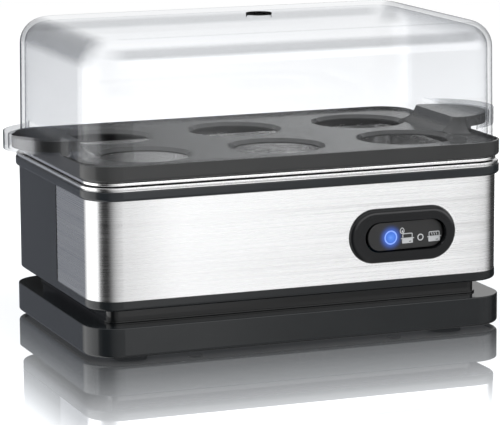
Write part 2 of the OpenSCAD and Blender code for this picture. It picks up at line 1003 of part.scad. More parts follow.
module egg_tray() {
    ta = ha + collar_over;
    tb = hb + collar_over;
    tr = body_r + collar_over;
    seat_out = 1.4;
    seat_w = 1.8;
    cut_h = lug_top - z_deck + tray_t + 2 * over;
    color(charcoal)
        difference() {
            union() {
                difference() {
                    translate([0, 0, z_tray])
                        slab(ta, tb, tr, tray_h, edge_r, smooth / 2);
                    translate([0, 0, z_tray - over])
                        prism(ta - wall, tb - wall, tr - wall, z_deck - tray_t - z_tray + over);
                    translate([0, 0, z_deck])
                        prism(ha + lid_over + lid_gap, hb + lid_over + lid_gap, body_r + lid_over + lid_gap,
                            lip_h + over);
                }
                // rib that stands on the bowl's flange
                difference() {
                    translate([0, 0, z_seat])
                        prism(ha - seat_out, hb - seat_out, body_r - seat_out, z_deck - z_seat - tray_t / 2);
                    translate([0, 0, z_seat - over])
                        prism(ha - seat_out - seat_w, hb - seat_out - seat_w, body_r - seat_out - seat_w,
                            z_deck - z_seat);
                }
                for (s = [0, 1])
                    mirror([s, 0, 0])
                        tray_handle();
            }
            for (i = [-1:1], s = [-1, 1])
                translate([i * egg_pitch_x, s * egg_pitch_y / 2, z_deck - tray_t - over])
                    rotate_extrude()
                        polygon([[0, 0], [egg_d / 2, 0], [egg_d / 2, over + tray_t * 0.3],
                            [egg_d / 2 + egg_seat, over + tray_t], [egg_d / 2 + egg_seat, cut_h],
                            [0, cut_h]]);
        }
}

// Rounded lug over the rim, which springs from a flared mound inside the lid
module tray_handle() {
    wall_x = ha + collar_over;
    mound_x = ha + lid_over - lid_t - mound_gap;
    foot_z = z_deck - mound_sink;
    mound_h = lug_top - foot_z;
    run = sqrt(flare_r * flare_r - (flare_r - mound_h) * (flare_r - mound_h));
    a = root_in + run;
    b = lug_r + run;
    r = mound_r + run;
    difference() {
        union() {
            intersection() {
                translate([ha, 0, foot_z])
                    swept(a, b, r) {
                        flare_section(b, mound_h, flare_r);
                        flare_section(a, mound_h, flare_r);
                        flare_section(r, mound_h, flare_r);
                    }
                translate([0, -hb, foot_z])
                    cube([mound_x, 2 * hb, mound_h]);
            }
            translate([lug_c, 0, lug_top])
                mirror([0, 0, 1]) {
                    lug_part(mound_x - wall / 2, lug_c + 2 * lug_r, lug_t);
                    lug_part(mound_x - wall / 2, wall_x, lug_top - z_deck + tray_t / 2);
                }
        }
        // hollow underside of the lug
        intersection() {
            translate([lug_c, 0, lug_top - lug_t - over])
                cylinder(r = lug_r - wall, h = lug_t + over - wall);
            translate([wall_x, -lug_r, lug_top - lug_t - over])
                cube([2 * lug_r, 2 * lug_r, lug_t + over - wall]);
        }
    }
}

// Part of the lug's disc from x0 to x1, with its top at z = 0 and its middle at lug_c
module lug_part(x0, x1, h) {
    intersection() {
        cylinder(r = lug_r, h = h);
        translate([x0 - lug_c, -2 * lug_r, 0])
            cube([x1 - x0, 4 * lug_r, h]);
    }
}

// ---- Lid ----

// Outline of the handle cap with its fillets to the wall at x = wall_x
module cap_outline(r, wall_x, blend) {
    dy = sqrt((r + blend) * (r + blend) - (wall_x + blend - lug_c) * (wall_x + blend - lug_c));
    circle_part(r);
    for (s = [0, 1])
        mirror([0, s])
            difference() {
                polygon([[lug_c, 0], [wall_x, dy], [wall_x + blend, dy]]);
                translate([wall_x + blend, dy])
                    circle(r = blend);
            }
}

// The part of the cap's disc that lies outside the wall
module circle_part(r) {
    intersection() {
        translate([lug_c, 0])
            circle(r = r);
        translate([lug_c, -2 * r])
            square([4 * r, 4 * r]);
    }
}

module lid() {
    la = ha + lid_over;
    lb = hb + lid_over;
    color([0.86, 0.9, 0.93, 0.35])
        difference() {
            union() {
                translate([0, 0, z_lid])
                    dome(la, lb, lid_r, lid_h, lid_top_r, lid_lean);
                for (s = [0, 1])
                    mirror([s, 0, 0])
                        translate([0, 0, cap_low])
                            linear_extrude(cap_top - cap_low)
                                cap_outline(cap_r, la - lid_lean * (cap_top - z_lid), blend_r);
            }
            translate([0, 0, z_lid - over])
                dome(la - lid_t, lb - lid_t, lid_r - lid_t, lid_h - lid_t + over, lid_top_r - lid_t,
                    lid_lean);
            // hollow of the caps and the way through the wall for the tray's handles
            for (s = [0, 1])
                mirror([s, 0, 0])
                    translate([0, 0, z_lid - over])
                        linear_extrude(cap_top - cap_t - z_lid + over)
                            circle_part(cap_r - lid_t);
            translate([vent_x, vent_y, z_lid + lid_h - 2 * lid_t])
                cylinder(d = vent_d, h = 3 * lid_t);
        }
}

base_plinth();
bottom_cover();
rubber_feet();
cover_screws();
cord_wrap_neck();
main_housing();
body_screws();
steel_band();
top_collar();
collar_trim();
bowl_gasket();
water_bowl();
heater_plate();
heating_element();
heater_pins();
retaining_bar();
clamp_studs();
clamp_nuts();
bar_screws();
thermostat();
thermal_fuse();
fuse_clip();
switch_bezel();
rocker();
indicator_lens();
rocker_pin();
switch_body();
switch_terminals();
indicator_board();
indicator_led();
dropper_resistor();
terminal_block();
terminal_screws();
cord_bushing();
egg_tray();
lid();
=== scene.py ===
import math
import bpy
import bmesh
from mathutils import Matrix, Vector


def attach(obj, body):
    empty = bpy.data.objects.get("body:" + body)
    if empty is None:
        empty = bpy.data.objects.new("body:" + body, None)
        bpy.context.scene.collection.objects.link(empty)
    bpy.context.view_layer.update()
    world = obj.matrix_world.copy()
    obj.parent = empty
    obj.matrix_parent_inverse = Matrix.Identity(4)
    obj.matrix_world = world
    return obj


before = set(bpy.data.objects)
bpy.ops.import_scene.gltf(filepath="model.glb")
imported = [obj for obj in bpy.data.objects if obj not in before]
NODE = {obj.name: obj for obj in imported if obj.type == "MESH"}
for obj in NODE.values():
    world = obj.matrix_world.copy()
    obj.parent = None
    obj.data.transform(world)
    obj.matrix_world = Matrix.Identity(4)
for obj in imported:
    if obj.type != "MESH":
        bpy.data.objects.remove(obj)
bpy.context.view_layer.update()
MM = 0.001


# ---- Node trees ----

class Tree:
    """A small helper that adds nodes and links them."""

    def __init__(self, owner):
        owner.use_nodes = True
        self.tree = owner.node_tree
        self.tree.nodes.clear()

    def add(self, kind, inputs=None, **settings):
        node = self.tree.nodes.new(kind)
        for key, value in settings.items():
            setattr(node, key, value)
        for key, value in (inputs or {}).items():
            self.put(node.inputs[key], value)
        return node

    def put(self, socket, value):
        if isinstance(value, bpy.types.Node):
            value = value.outputs[0]
        if isinstance(value, bpy.types.NodeSocket):
            self.tree.links.new(value, socket)
        else:
            socket.default_value = value

    def math(self, operation, *values):
        return self.add("ShaderNodeMath", dict(enumerate(values)), operation=operation).outputs[0]

    def span(self, value, low, high, to_low=0.0, to_high=1.0, smooth=False):
        node = self.add("ShaderNodeMapRange", {"Value": value, "From Min": low, "From Max": high,
                                               "To Min": to_low, "To Max": to_high})
        if smooth:
            node.interpolation_type = "SMOOTHSTEP"
        return node.outputs[0]

    def ramp(self, value, stops, mode="LINEAR"):
        node = self.add("ShaderNodeValToRGB", {"Fac": value})
        node.color_ramp.interpolation = mode
        points = node.color_ramp.elements
        while len(points) < len(stops):
            points.new(0.5)
        for point, (position, colour) in zip(points, stops):
            point.position = position
            point.color = (*colour, 1) if isinstance(colour, tuple) else (colour, colour, colour, 1)
        return node.outputs[0]

    def noise(self, where, scale, detail=3.0, roughness=0.5):
        return self.add("ShaderNodeTexNoise", {"Vector": where, "Scale": scale, "Detail": detail,
                                               "Roughness": roughness}).outputs[0]

    def place(self, stretch=(1, 1, 1)):
        spot = self.add("ShaderNodeTexCoord").outputs["Object"]
        return self.add("ShaderNodeMapping", {"Vector": spot, "Scale": stretch}).outputs[0]

    def mix(self, factor, first, second):
        node = self.add("ShaderNodeMix", data_type="RGBA")
        self.put(node.inputs[0], factor)
        self.put(node.inputs[6], first)
        self.put(node.inputs[7], second)
        return node.outputs[2]

    def parts(self, vector):
        """The x, y and z outputs of a vector."""
        return self.add("ShaderNodeSeparateXYZ", {0: vector}).outputs

    def up(self):
        """How far the surface faces up: 1 on top, 0 on an upright wall, -1 underneath."""
        return self.parts(self.add("ShaderNodeNewGeometry").outputs["Normal"])[2]

    def band(self, value, low, low_full, high_full, high):
        """0 outside low to high, 1 between low_full and high_full."""
        return self.math("MULTIPLY", self.span(value, low, low_full, smooth=True),
                         self.span(value, high_full, high, 1.0, 0.0, smooth=True))

    def bump(self, height, strength, distance):
        return self.add("ShaderNodeBump", {"Height": height, "Strength": strength,
                                           "Distance": distance}).outputs[0]


def shade(colour, gain):
    return (*[min(1.0, c * gain) for c in colour], 1.0)


def surface(name, colour, rough, vary=0.06, rough_vary=0.04, grain=900.0, depth=0.00002, strength=0.25,
            blotch=45.0, **fixed):
    """Principled material whose colour, roughness and grain come from noise in the part's own frame."""
    mat = bpy.data.materials.new(name)
    t = Tree(mat)
    wide = t.noise(t.place(), blotch, 4.0)
    fine = t.noise(t.place(), grain, 3.0, 0.6)
    tone = t.mix(wide, shade(colour, 1 - vary), shade(colour, 1 + vary))
    gloss = t.math("ADD", t.span(wide, 0.3, 0.7, rough - rough_vary, rough + rough_vary),
                   t.span(fine, 0.3, 0.7, -rough_vary / 2, rough_vary / 2))
    shader = t.add("ShaderNodeBsdfPrincipled", {"Base Color": tone, "Roughness": gloss,
                                                "Normal": t.bump(fine, strength, depth)})
    for key, value in fixed.items():
        shader.inputs[key.replace("_", " ")].default_value = value
    t.add("ShaderNodeOutputMaterial", {"Surface": shader})
    return mat


# Painted shade on the brushed steel: its colour darkens towards the left and right of the body, standing in
# for the darker reflection near its corners. From and to in x, and by how much
STEEL_LEFT_SHADE = (-50 * MM, -84 * MM, 0.28)
STEEL_RIGHT_SHADE = (62 * MM, 84 * MM, 0.10)
# Near-white tone for the bowl's flange: a painted highlight
FLANGE_HIGHLIGHT_TONE = (0.97, 0.97, 0.97, 1)
BLACK = (0, 0, 0, 1)


def brushed(name, colour, rough, along=10.0, across=2800.0, vary=0.06, highlight_from=None):
    """Steel sheet brushed along its length: streaks run level round the body.

    Its colour darkens towards the body's left and right, a painted shade; above the height given last it is
    near white, a painted highlight.
    """
    mat = bpy.data.materials.new(name)
    t = Tree(mat)
    lines = t.noise(t.place((along, along, across)), 1.0, 5.0, 0.65)
    broad = t.noise(t.place((along / 4, along / 4, across / 9)), 1.0, 3.0)
    tone = t.mix(lines, shade(colour, 1 - vary), shade(colour, 1 + vary / 2))
    x = t.parts(t.place())[0]
    # painted shade: the colour darkens towards the body's left and right
    ends = t.math("ADD", *[t.span(x, begin, end, 0.0, dark, smooth=True)
                           for begin, end, dark in (STEEL_LEFT_SHADE, STEEL_RIGHT_SHADE)])
    tone = t.mix(ends, tone, BLACK)
    # painted highlight: near white above the given height
    if highlight_from:
        height = t.parts(t.place())[2]
        tone = t.mix(t.span(height, highlight_from - 0.1 * MM, highlight_from), tone, FLANGE_HIGHLIGHT_TONE)
    gloss = t.math("ADD", t.span(lines, 0.3, 0.7, rough - 0.05, rough + 0.05),
                   t.span(broad, 0.3, 0.7, -0.03, 0.03))
    turned = t.add("ShaderNodeTangent", direction_type="RADIAL", axis="Z").outputs[0]
    shader = t.add("ShaderNodeBsdfPrincipled", {
        "Base Color": tone, "Metallic": 1.0, "Roughness": gloss, "Anisotropic": 0.75,
        "Anisotropic Rotation": 0.25, "Tangent": turned, "Normal": t.bump(lines, 0.06, 0.00002)})
    t.add("ShaderNodeOutputMaterial", {"Surface": shader})
    return mat


# The lid's outline, as in part.scad
LID_A = 90.5 * MM
LID_B = 57.0 * MM
LID_R = 18 * MM
LID_Z = 78.0 * MM
LID_LEAN = 0.014
LID_TOP_R = 10.9 * MM
LID_TURN = 117.4 * MM
VENT = Vector((10, 20, 0)) * MM
VENT_R = 5.6 * MM

# The lid's tones: a grey and a black painted as shade for the refraction and reflections in its edges and in
# its steam hole's wall; its clear tint, greying where it is seen edge on as painted shade; and its mirror's
# colour
EDGE_SHADE_GREY = (0.20, 0.21, 0.23, 1)
VENT_SHADE_BLACK = (0.01, 0.01, 0.01, 1)
LID_CLEAR_AND_EDGE_SHADE = [(0.0, (0.984, 0.987, 0.99)), (0.62, (0.975, 0.979, 0.984)), (0.85, (0.98, 0.984, 0.988)),
             (0.95, (0.6, 0.61, 0.63)), (1.0, (0.4, 0.41, 0.43))]
LID_SHINE = (0.97, 0.98, 1, 1)


def lid_outside(t, x, y, z):
    """1 on the lid's outer surface, 0 on the inner one, from the distance to the outline at that height."""
    rise = t.math("MAXIMUM", t.math("SUBTRACT", z, LID_TURN), 0.0)
    left_over = t.math("SUBTRACT", LID_TOP_R ** 2, t.math("MULTIPLY", rise, rise))
    drop = t.math("SQRT", t.math("MAXIMUM", left_over, 0.0))
    lean = t.math("MULTIPLY", t.math("SUBTRACT", z, LID_Z), LID_LEAN)
    qx, qy = [t.math("MAXIMUM", t.math("SUBTRACT", t.math("ADD", way, lean), half - LID_R), 0.0)
              for way, half in ((x, LID_A), (y, LID_B))]
    reach = t.math("SQRT", t.math("ADD", t.math("MULTIPLY", qx, qx), t.math("MULTIPLY", qy, qy)))
    depth = t.math("SUBTRACT", t.math("ADD", reach, LID_TOP_R - LID_R), drop)
    return t.span(depth, -1.4 * MM, -0.8 * MM)


def lid_painted_grey(t, place, x, y, z, cap):
    """How grey the lid is painted in its rounded top ends, a line along its sides, and its caps: painted
    shade for the refraction and reflections in the clear plastic there.
    """
    left = t.math("MULTIPLY", t.span(place[0], -77 * MM, -84 * MM, smooth=True),
                  t.span(y, 38 * MM, 50 * MM, 0.40, 0.0))
    right = t.math("MULTIPLY", t.span(place[0], 79 * MM, 82 * MM, 0.0, 0.32, smooth=True),
                   t.span(place[0], 84 * MM, 88 * MM, 1.0, 0.25, smooth=True))
    right = t.math("MULTIPLY", right, t.span(y, 44 * MM, 54 * MM, 1.0, 0.3))
    high = t.span(z, 115.5 * MM, 121 * MM, smooth=True)
    ends = t.math("MULTIPLY", high, t.math("MAXIMUM", left, right))
    on_side = t.math("MULTIPLY", t.span(y, 42 * MM, 48 * MM), t.span(x, 74 * MM, 84 * MM, 1.0, 0.0))
    line = t.math("MULTIPLY", t.band(z, 120 * MM, 121.8 * MM, 123.4 * MM, 125.6 * MM), on_side)
    line = t.math("MULTIPLY", line, t.span(place[1], -20 * MM, 20 * MM, 0.24, 0.15))
    return t.math("MAXIMUM", t.math("MAXIMUM", ends, t.math("MULTIPLY", cap, 0.22)), line)


def lid_far_edge_shade(t, place, z, facing, outer):
    """How grey the outer rounding is painted just under the lid's outline, at its right end and along its
    front: painted reflection shade.
    """
    rounding = t.math("MULTIPLY", t.span(z, 118 * MM, 121 * MM), t.span(z, 128.0 * MM, 128.25 * MM, 1.0, 0.0))
    end = t.math("MULTIPLY", t.span(facing, 0.80, 0.93), t.span(place[0], 79 * MM, 80.5 * MM, 0.0, 0.6))
    front = t.math("MULTIPLY", t.span(facing, 0.62, 0.75), t.span(place[1], -46 * MM, -48 * MM, 0.0, 0.35))
    return t.math("MULTIPLY", t.math("MULTIPLY", rounding, outer), t.math("MAXIMUM", end, front))


def vent_painted_shade(t, spot, place, z, wall):
    """1 where the steam hole's edge is painted black, as shade on its wall: all of its far half, and a thin
    line on its near half.
    """
    flat_spot = t.add("ShaderNodeVectorMath", {0: spot, 1: (1, 1, 0)}, operation="MULTIPLY")
    from_vent = t.add("ShaderNodeVectorMath", {0: flat_spot, 1: VENT}, operation="DISTANCE").outputs["Value"]
    near = t.math("MULTIPLY", t.span(from_vent, VENT_R, VENT_R + 0.15 * MM, 1.0, 0.0), wall)
    foot = t.span(place[1], VENT.y - 0.1 * MM, VENT.y + 0.1 * MM, 127.6 * MM, 126.8 * MM)
    return t.math("MULTIPLY", near, t.math("GREATER_THAN", z, foot))


def clear_plastic(name):
    """Clear, smooth and glossy moulding, painted greyer as shade for refraction and reflections in its
    rounded edges, its caps and where it is seen edge on, and painted black as shade in its steam hole's edge.
    """
    mat = bpy.data.materials.new(name)
    t = Tree(mat)
    spot = t.place()
    place = t.parts(spot)
    x, y, z = [t.math("ABSOLUTE", way) for way in place]
    up = t.math("ABSOLUTE", t.up())
    wall = t.span(up, 0.15, 0.5, 1.0, 0.0)
    not_wall = t.math("SUBTRACT", 1.0, wall)
    ripple = t.bump(t.noise(spot, 22.0, 2.0), 0.04, 0.0005)
    soft = t.add("ShaderNodeBevel", {"Radius": 0.5 * MM, "Normal": ripple}, samples=4).outputs[0]
    facing = t.add("ShaderNodeLayerWeight", {"Blend": 0.5, "Normal": soft}).outputs["Facing"]
    outer = lid_outside(t, x, y, z)

    # painted shade where it is seen edge on: walls sooner than the top, and the right end a little later than
    # the left
    wall_facing = t.math("SUBTRACT", facing, t.span(place[0], 60 * MM, 90 * MM, 0.0, 0.035))
    top_facing = t.span(facing, 0.90, 1.0, 0.84, 1.0)
    graze = t.math("ADD", t.math("MULTIPLY", wall_facing, wall), t.math("MULTIPLY", top_facing, not_wall))
    # the painted grey along the edges is stronger on the left than on the right
    by_side = t.span(place[0], -60 * MM, 60 * MM, 1.0, 0.2)
    edge = t.math("MULTIPLY", t.math("MULTIPLY", t.span(facing, 0.735, 0.80), by_side), wall)
    brim = t.math("MULTIPLY", t.span(graze, 0.88, 0.97, 0.0, 0.45), not_wall)
    rim = t.math("MULTIPLY", t.math("ADD", edge, brim), outer)
    rim = t.math("MAXIMUM", rim, lid_far_edge_shade(t, place, z, facing, outer))

    cap = t.span(x, 92 * MM, 97 * MM, 0.0, 1.0, smooth=True)
    painted_grey = lid_painted_grey(t, place, x, y, z, cap)
    vent_shade = vent_painted_shade(t, spot, place, z, wall)
    # painted shade: grey in the rounded edges and caps, black in the steam hole's edge
    tone = t.mix(t.math("MAXIMUM", painted_grey, rim), t.ramp(graze, LID_CLEAR_AND_EDGE_SHADE), EDGE_SHADE_GREY)
    tone = t.mix(vent_shade, tone, VENT_SHADE_BLACK)

    # the mirror: Fresnel-like, weak on the flat top, stronger on the caps' walls, none in the steam hole's
    # painted black edge
    flat = t.span(up, 0.6, 0.95, 1.0, 0.06)
    fresnel = t.math("ADD", t.math("MULTIPLY", t.math("POWER", facing, 5.0), 0.97), 0.03)
    mirror = t.math("MAXIMUM", t.math("MULTIPLY", fresnel, flat),
                    t.math("MULTIPLY", t.math("MULTIPLY", cap, wall), 0.13))
    mirror = t.math("MULTIPLY", mirror, t.math("SUBTRACT", 1.0, vent_shade))
    through = t.add("ShaderNodeBsdfTransparent", {"Color": tone})
    shine = t.add("ShaderNodeBsdfGlossy", {
        "Color": LID_SHINE, "Roughness": t.span(t.noise(spot, 60.0), 0.3, 0.7, 0.03, 0.05), "Normal": ripple})
    t.add("ShaderNodeOutputMaterial", {
        "Surface": t.add("ShaderNodeMixShader", {0: mirror, 1: through, 2: shine})})
    return mat


# ---- Rocker: its face, light and signs share one frame, tilted as in part.scad ----

PIVOT = Vector((44.4, -50.4793, 42.5)) * MM
FACE = -6.2 * MM
TILT = math.radians(4)
LENS = Vector((-7.0, -0.5)) * MM
TO_ROCKER = Matrix.Translation(PIVOT) @ Matrix.Rotation(TILT, 4, "Z")
LENS_AT = TO_ROCKER @ Vector((LENS.x, FACE, LENS.y))


def glow(t, spot, inner, outer):
    """The distance to the light's centre, and a mask for the light's painted glow on the rocker: 1 inside the
    inner radius, 0 beyond the outer one.
    """
    near = t.add("ShaderNodeVectorMath", {0: spot, 1: LENS_AT}, operation="DISTANCE").outputs["Value"]
    return near, t.span(near, inner, outer, 1.0, 0.0, smooth=True)


def rocker_plastic(name):
    """Satin black plastic with the light's blue glow painted on it as emission."""
    mat = bpy.data.materials.new(name)
    t = Tree(mat)
    spot = t.place()
    fine = t.noise(spot, 1500.0, 3.0, 0.6)
    wide = t.noise(spot, 120.0, 3.0)
    # painted light: the face round the lens gives off a blue glow, though only the lens is lit
    halo = glow(t, spot, 2.6 * MM, 6.6 * MM)[1]
    light = t.math("POWER", halo, 2.2)
    shader = t.add("ShaderNodeBsdfPrincipled", {
        "Base Color": t.mix(wide, (0.013, 0.013, 0.0135, 1), (0.018, 0.018, 0.0185, 1)),
        "Roughness": t.span(wide, 0.3, 0.7, 0.34, 0.42),
        "Normal": t.bump(fine, 0.25, 0.00001),
        "Emission Color": (0.045, 0.16, 0.75, 1),
        "Emission Strength": t.math("MULTIPLY", light, 0.6)})
    t.add("ShaderNodeOutputMaterial", {"Surface": shader})
    return mat


LENS_R = 3.0 * MM
# From the lens's centre to its edge: a blue disc, then a brighter ring
LENS_TONES = [(0.0, (0.14, 0.32, 0.86)), (0.35, (0.075, 0.22, 0.72)), (0.72, (0.05, 0.15, 0.60)),
              (0.79, (0.10, 0.24, 0.8)), (0.85, (0.33, 0.50, 1.0)), (0.93, (0.31, 0.47, 1.0)),
              (1.0, (0.05, 0.16, 0.7))]


def lit_lens(name):
    """Blue light with a brighter rim."""
    mat = bpy.data.materials.new(name)
    t = Tree(mat)
    spot = t.place()
    near = glow(t, spot, 0.0, LENS_R)[0]
    tone = t.ramp(t.math("DIVIDE", near, LENS_R), LENS_TONES)
    grain = t.noise(spot, 700.0, 3.0)
    shader = t.add("ShaderNodeBsdfPrincipled", {
        "Base Color": (0.02, 0.05, 0.2, 1), "Roughness": t.span(grain, 0.3, 0.7, 0.1, 0.2),
        "Emission Color": tone, "Emission Strength": t.span(grain, 0.3, 0.7, 0.85, 1.0)})
    t.add("ShaderNodeOutputMaterial", {"Surface": shader})
    return mat


# ---- Materials ----

GLOSSY_PLASTIC = {"vary": 0.12, "rough_vary": 0.03, "grain": 700.0, "depth": 0.000006, "strength": 0.15}
CHARCOAL = surface("charcoal_plastic", (0.0125, 0.0145, 0.016), 0.10, **GLOSSY_PLASTIC, IOR=1.47)
COLLAR = surface("collar_plastic", (0.020, 0.0230, 0.026), 0.10, **GLOSSY_PLASTIC, IOR=1.47)
TRAY = surface("tray_plastic", (0.044, 0.0445, 0.0445), 0.15, vary=0.1, rough_vary=0.03, grain=1600.0,
               depth=0.000006, strength=0.15, IOR=1.42)
NECK = surface("neck_plastic", (0.0125, 0.0135, 0.0145), 0.10, vary=0.12, IOR=1.46, depth=0.000006)
INNER = surface("inner_plastic", (0.03, 0.03, 0.032), 0.45, vary=0.1, grain=1300.0, depth=0.00003)
RUBBER = surface("rubber", (0.008, 0.008, 0.008), 0.7, vary=0.2, rough_vary=0.08, grain=1800.0, depth=0.00005,
                 strength=0.5, IOR=1.25)
ZINC = surface("zinc_steel", (0.6, 0.6, 0.58), 0.34, vary=0.1, rough_vary=0.07, grain=1200.0, depth=0.00002,
               Metallic=1.0)
# The cover screws are zinc-plated steel drawn near black: painted shade for the dark under the plinth, where
# they sit
SCREW_SHADE_BLACK = surface("screws_painted_shade", (0.02, 0.02, 0.021), 0.55, vary=0.1, rough_vary=0.06, grain=1200.0)
CHROME = surface("chrome", (0.97, 0.97, 0.975), 0.22, vary=0.015, rough_vary=0.02, grain=500.0,
                 depth=0.000003, strength=0.1, Metallic=1.0)
STEEL = brushed("brushed_steel", (0.96, 0.963, 0.97), 0.27)
FLANGE_Z = 70.9 * MM
BOWL = brushed("bowl_steel", (0.68, 0.68, 0.68), 0.24, along=60.0, across=700.0, vary=0.06, highlight_from=FLANGE_Z)
ALUMINIUM = surface("cast_aluminium", (0.72, 0.72, 0.71), 0.5, vary=0.08, rough_vary=0.08, grain=1100.0,
                    depth=0.00008, strength=0.5, Metallic=1.0)
ELEMENT = surface("element_steel", (0.30, 0.28, 0.25), 0.4, vary=0.35, rough_vary=0.1, grain=800.0,
                  blotch=80.0, depth=0.00002, Metallic=1.0)
CERAMIC = surface("ceramic", (0.80, 0.78, 0.70), 0.45, vary=0.05, grain=1500.0, depth=0.00004)
GLOSS_BLACK = surface("switch_black", (0.0075, 0.008, 0.009), 0.16, vary=0.1, rough_vary=0.03, grain=1500.0,
                      depth=0.000006, IOR=1.42)
BRASS = surface("brass", (0.72, 0.52, 0.24), 0.32, vary=0.12, rough_vary=0.08, grain=900.0, Metallic=1.0)
BOARD = surface("circuit_board", (0.03, 0.16, 0.07), 0.4, vary=0.25, grain=500.0, blotch=400.0)
LED = surface("led_resin", (0.35, 0.5, 0.85), 0.12, vary=0.06, grain=900.0, depth=0.000005)
SIGN = surface("sign_print", (0.62, 0.63, 0.64), 0.5, vary=0.05, grain=2500.0, depth=0.00001)
ROCKER = rocker_plastic("rocker_black")
LENS_LIT = lit_lens("lens_lit")
LID = clear_plastic("clear_plastic")


RESISTOR_COAT = (0.55, 0.43, 0.24)
# Coloured bands on the resistor, from below upwards: where each starts and ends, and its colour
RESISTOR_BANDS = [(0.2, 0.3, (0.4, 0.06, 0.03)), (0.42, 0.52, (0.06, 0.05, 0.2)),
                  (0.62, 0.72, (0.5, 0.2, 0.02)), (0.84, 0.93, (0.5, 0.36, 0.1))]


def banded(name):
    """Coated resistor with colour bands across it."""
    mat = bpy.data.materials.new(name)
    t = Tree(mat)
    spot = t.place()
    height = t.parts(spot)[2]
    stops = [(0.0, RESISTOR_COAT)]
    for start, end, colour in RESISTOR_BANDS:
        stops += [(start, colour), (end, RESISTOR_COAT)]
    tone = t.ramp(t.span(height, 38.5 * MM, 46.5 * MM), stops, "CONSTANT")
    grain = t.noise(spot, 1400.0)
    shader = t.add("ShaderNodeBsdfPrincipled", {
        "Base Color": tone, "Roughness": t.span(grain, 0.3, 0.7, 0.35, 0.5),
        "Normal": t.bump(grain, 0.2, 0.00002)})
    t.add("ShaderNodeOutputMaterial", {"Surface": shader})
    return mat


FINISH = {
    CHARCOAL: ["base_plinth", "main_housing"],
    COLLAR: ["top_collar"],
    TRAY: ["egg_tray"],
    NECK: ["cord_wrap_neck"],
    INNER: ["bottom_cover", "thermostat", "switch_body"],
    RUBBER: ["rubber_feet", "bowl_gasket", "cord_bushing"],
    # cover screws drawn near black as painted shade
    SCREW_SHADE_BLACK: ["cover_screws"],
    ZINC: ["body_screws", "heater_pins", "retaining_bar", "clamp_studs", "clamp_nuts", "bar_screws",
           "fuse_clip", "rocker_pin"],
    CHROME: ["collar_trim"],
    STEEL: ["steel_band"],
    BOWL: ["water_bowl"],
    ALUMINIUM: ["heater_plate"],
    ELEMENT: ["heating_element"],
    CERAMIC: ["thermal_fuse", "terminal_block"],
    GLOSS_BLACK: ["switch_bezel"],
    ROCKER: ["rocker"],
    LENS_LIT: ["indicator_lens"],
    BRASS: ["switch_terminals", "terminal_screws"],
    BOARD: ["indicator_board"],
    LED: ["indicator_led"],
    banded("resistor"): ["dropper_resistor"],
    LID: ["lid"],
}
for finish, names in FINISH.items():
    for name in names:
        slots = NODE[name].data.materials
        for i in range(len(slots)):
            slots[i] = finish


# ---- Signs on the rocker: a cooker with an egg, a ring, and a cooker with steam ----

def rounded_box(x, z, w, h, r, steps=5):
    points = []
    for cx, cz, start in ((x + w / 2 - r, z + h / 2 - r, 0), (x - w / 2 + r, z + h / 2 - r, 90),
                          (x - w / 2 + r, z - h / 2 + r, 180), (x + w / 2 - r, z - h / 2 + r, 270)):
        for i in range(steps + 1):
            a = math.radians(start + 90 * i / steps)
            points.append((cx + r * math.cos(a), cz + r * math.sin(a)))
    return points


def oval(x, z, rx, rz, point=0.0, steps=28):
    """Closed oval. With point above 0 its upper end narrows, as an egg's does."""
    turns = [2 * math.pi * i / steps for i in range(steps)]
    return [(x + rx * math.cos(a) * (1 - point * math.sin(a)), z + rz * math.sin(a)) for a in turns]


def stroke(points, width):
    """Closed outline of a line of that width along the points."""
    left, right = [], []
    for i, (x, z) in enumerate(points):
        ax, az = points[max(i - 1, 0)]
        bx, bz = points[min(i + 1, len(points) - 1)]
        length = math.hypot(bx - ax, bz - az)
        nx, nz = -(bz - az) / length * width / 2, (bx - ax) / length * width / 2
        left.append((x + nx, z + nz))
        right.append((x - nx, z - nz))
    return left + right[::-1]


# The print stands this far above the rocker's face and reaches this far into it, in mm
PRINT_HIGH = 0.045
PRINT_LOW = 0.02


def on_rocker(x, y, z):
    """A point in mm, with y measured into the rocker from its face."""
    return TO_ROCKER @ Vector((x * MM, FACE + y * MM, z * MM))


def sign(name, shapes):
    """Thin raised print on the rocker's face. Each shape is an outline, or an outer and an inner one."""
    mesh = bmesh.new()
    for shape in shapes:
        outer, inner = shape if isinstance(shape, tuple) else (shape, None)
        loops = [outer] if inner is None else [outer, inner]
        rings = []
        for loop in loops:
            rings.append([[mesh.verts.new(on_rocker(x, y, z)) for x, z in loop]
                          for y in (-PRINT_HIGH, PRINT_LOW)])
        if inner is None:
            for ring in rings[0]:
                mesh.faces.new(ring)
        else:
            for level in (0, 1):
                a, b = rings[0][level], rings[1][level]
                for i in range(len(a)):
                    j = (i + 1) % len(a)
                    mesh.faces.new((a[i], a[j], b[j], b[i]))
        for front, back in rings:
            for i in range(len(front)):
                j = (i + 1) % len(front)
                mesh.faces.new((front[i], front[j], back[j], back[i]))
    bmesh.ops.recalc_face_normals(mesh, faces=mesh.faces)
    data = bpy.data.meshes.new(name)
    mesh.to_mesh(data)
    mesh.free()
    data.materials.append(SIGN)
    piece = bpy.data.objects.new(name, data)
    bpy.context.scene.collection.objects.link(piece)
    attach(piece, "rocker")


def cooker(x, z, w):
    """Small picture of a cooker: body, rim with handles, and the outline of its lid."""
    line = 0.34
    body = (rounded_box(x, z - 0.95, w, 1.9, 0.3), rounded_box(x + w * 0.24, z - 1.2, 1.1, 0.34, 0.12))
    rim = rounded_box(x, z + 0.17, w + 1.1, 0.4, 0.15)
    lid = (rounded_box(x, z + 1.28, w - 0.3, 2.1, 0.55),
           rounded_box(x, z + 1.2, w - 0.3 - 2 * line, 2.1 - 2 * line + 0.1, 0.3))
    return [body, rim, lid]


def steam(x, z, height=1.15, sway=0.2, width=0.26, steps=10):
    """One wavy line of steam, rising from the point."""
    return stroke([(x + sway * math.sin(2 * math.pi * i / steps), z + height * i / steps)
                   for i in range(steps + 1)], width)


